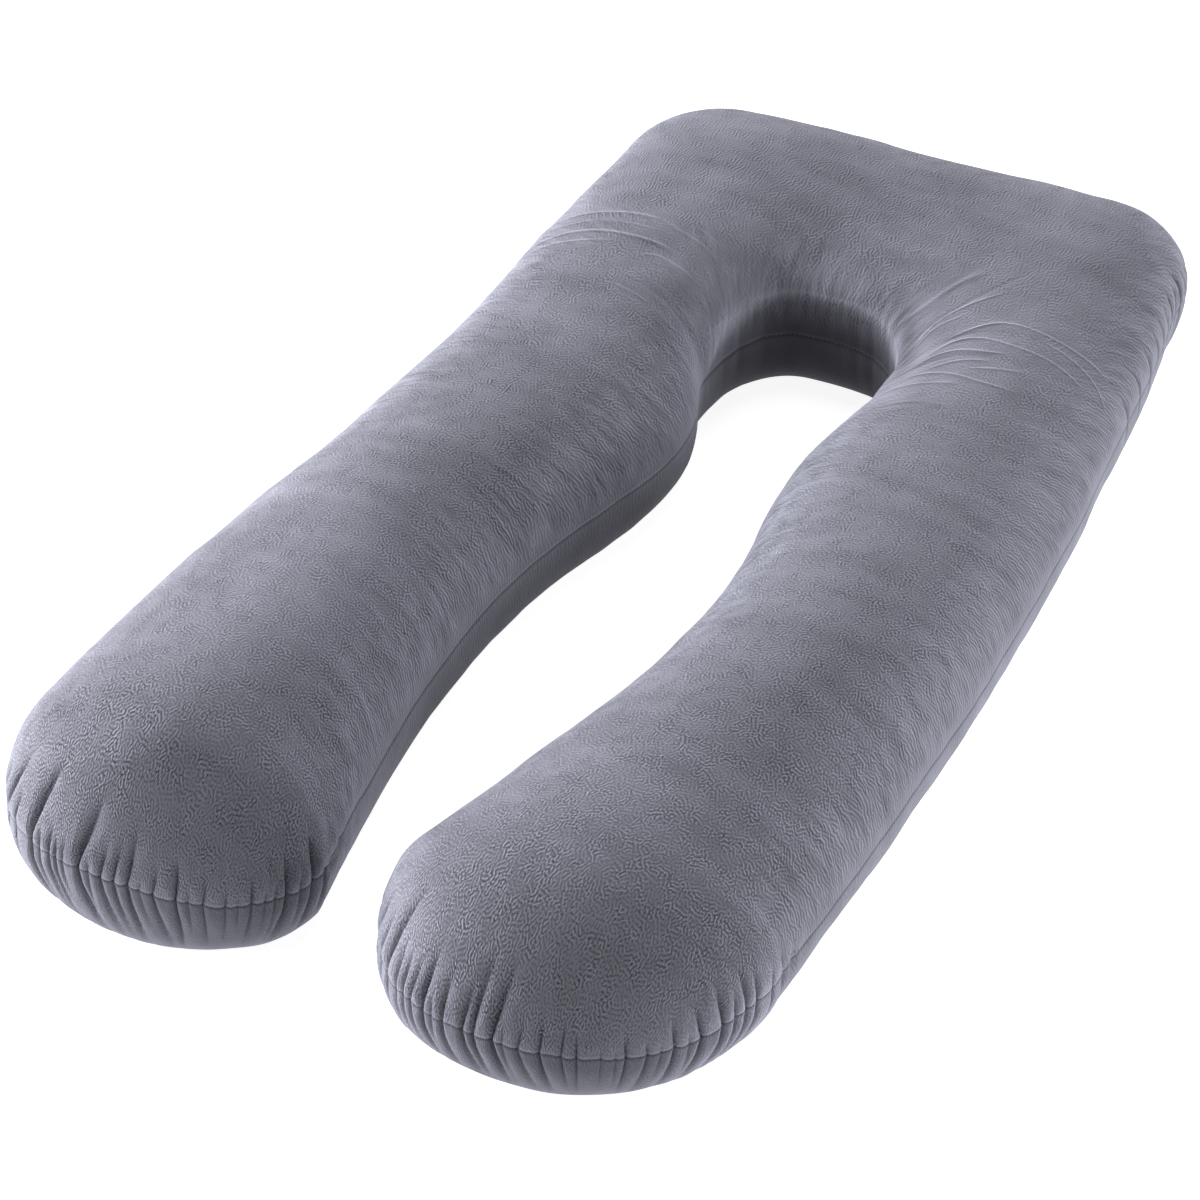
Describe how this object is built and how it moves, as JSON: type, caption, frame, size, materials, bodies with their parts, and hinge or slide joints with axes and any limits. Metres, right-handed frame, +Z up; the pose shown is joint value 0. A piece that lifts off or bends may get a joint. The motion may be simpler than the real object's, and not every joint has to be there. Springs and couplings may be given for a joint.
{
  "type": "body pillow",
  "caption": "U-shaped full-body pillow: a padded head end and two long rounded legs round a waisted gap, sewn all round at mid height and gathered at the tips.",
  "frame": {"origin": "on the surface the pillow lies on, under the middle of its bounding box", "axes": "+Z up, +Y along the pillow towards its closed head end, +X across it"},
  "size_m": [0.8004, 1.6472, 0.241],
  "materials": {
    "velvet": "grey velvet with a lilac tinge, crushed nap, matt with a soft sheen at its edges"
  },
  "bodies": {
    "root": {"pillow": "velvet"}
  },
  "joints": []
}
